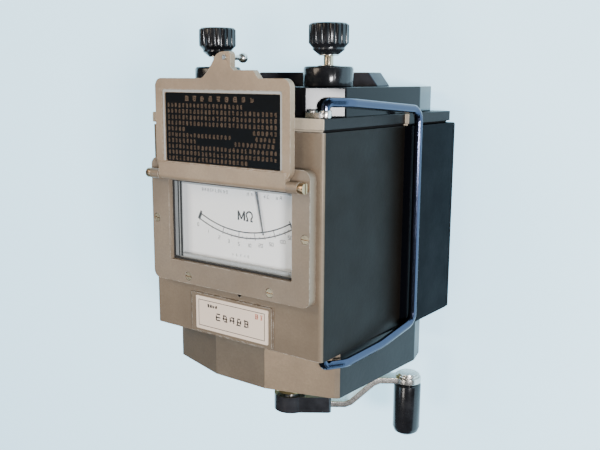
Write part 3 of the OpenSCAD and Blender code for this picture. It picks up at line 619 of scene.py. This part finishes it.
def name_marks():
    """The name plate's thin border and two rows of block marks."""
    x0, x1, y0, y1, _ = edges_mm("name_plate")
    inset, thin = 1.7, 0.3
    bx0, bx1, by0, by1 = x0 + inset, x1 - inset, y0 + inset, y1 - inset
    shapes = [bar(bx0, by0, bx1, by0 + thin), bar(bx0, by1 - thin, bx1, by1),
              bar(bx0, by0 + thin, bx0 + thin, by1 - thin), bar(bx1 - thin, by0 + thin, bx1, by1 - thin)]
    for i in range(5):
        shapes += glyph(x0 + 13.0 + 4.5 * i, y0 + 5.9, 3.4, 3.9, 0.62, 1.15)
    for i in range(4):
        shapes += glyph(x0 + 7.6 + 1.7 * i, y1 - 5.0, 1.4, 1.6, 0.42, 1.1)
    return shapes


def name_seal():
    """A small red mark in the name plate's upper right corner."""
    _, x1, _, y1, _ = edges_mm("name_plate")
    return glyph(x1 - 7.6, y1 - 5.4, 2.2, 2.6, 0.5) + glyph(x1 - 4.7, y1 - 5.4, 1.7, 2.6, 0.5)


printing("plate_marks", plate_marks(), edges_mm("instruction_plate")[4], "lid", "pale_ink")
name_z = edges_mm("name_plate")[4]
printing("name_marks", name_marks(), name_z, "case", "ink")
printing("name_seal", name_seal(), name_z, "case", "red_ink")


# ---------- floor, lights and camera ----------


def floor_material():
    n = Nodes("floor_pale")
    wash = n.noise(1.4, 2)
    pale = n.mix(n.spread(wash, 0.3, 0.7, 0, 1), (0.62, 0.76, 0.84), (0.66, 0.79, 0.86))
    n.set(color=pale, rough=0.95, level=0.1)
    n.shader.inputs["Emission Color"].default_value = (0.42, 0.78, 1.0, 1)
    n.shader.inputs["Emission Strength"].default_value = 1.9
    return n.mat


def pale_floor():
    """A wide flat sheet just below the object."""
    bm = bmesh.new()
    bmesh.ops.create_grid(bm, x_segments=8, y_segments=8, size=3.0)
    for v in bm.verts:
        v.co.z = -0.0002
    mesh = bpy.data.meshes.new("floor")
    bm.to_mesh(mesh)
    bm.free()
    mesh.materials.append(floor_material())
    floor = bpy.data.objects.new("floor", mesh)
    bpy.context.collection.objects.link(floor)
    return floor


floor = pale_floor()


def softbox(name, place, target, size, power, color=(1, 1, 1)):
    data = bpy.data.lights.new(name, "AREA")
    data.shape = "RECTANGLE"
    data.size, data.size_y = size
    data.energy = power
    data.color = color
    lamp = bpy.data.objects.new(name, data)
    bpy.context.collection.objects.link(lamp)
    lamp.location = place
    lamp.rotation_euler = (Vector(target) - Vector(place)).to_track_quat("-Z", "Y").to_euler()


softbox("key", (0.83, 0.02, 0.72), (0.045, 0.05, 0.105), (0.17, 0.18), 15, (0.98, 0.98, 1.0))
softbox("warm", (-0.40, 0.50, 0.85), (0, 0, 0.1), (0.4, 0.4), 5, (1.0, 0.84, 0.66))
softbox("sky", (-0.53, -0.13, 0.84), (0, 0.02, 0.118), (0.34, 0.22), 1.3, (0.55, 0.78, 1.0))
softbox("above", (-0.02, -0.24, 1.15), (0, -0.05, 0.1), (0.26, 0.26), 3.5, (1.0, 0.95, 0.88))

world = bpy.data.worlds.new("studio")
bpy.context.scene.world = world
world.use_nodes = True
background = world.node_tree.nodes["Background"]
background.inputs["Color"].default_value = (0.80, 0.88, 0.95, 1)
background.inputs["Strength"].default_value = 0.12

# the camera looks at the middle of the instrument from above its right front, held with +Y up
EYE = Vector((0.24448, 0.07469, 0.39225))
LOOK_AT = Vector((-0.00192, -0.00278, 0.06106))
TILT = 0.293  # degrees, anticlockwise


def photo_camera():
    eye = bpy.data.cameras.new("camera")
    eye.lens = 47.15
    eye.sensor_width = 36
    eye.clip_start = 0.01
    eye.dof.use_dof = False
    camera = bpy.data.objects.new("camera", eye)
    back = (EYE - LOOK_AT).normalized()
    right = Vector((0, 1, 0)).cross(back).normalized()
    level = Matrix((right, back.cross(right), back)).transposed()
    turn = level @ Matrix.Rotation(math.radians(TILT), 3, "Z")
    camera.matrix_world = Matrix.Translation(EYE) @ turn.to_4x4()
    bpy.context.collection.objects.link(camera)
    return camera


bpy.context.scene.camera = photo_camera()
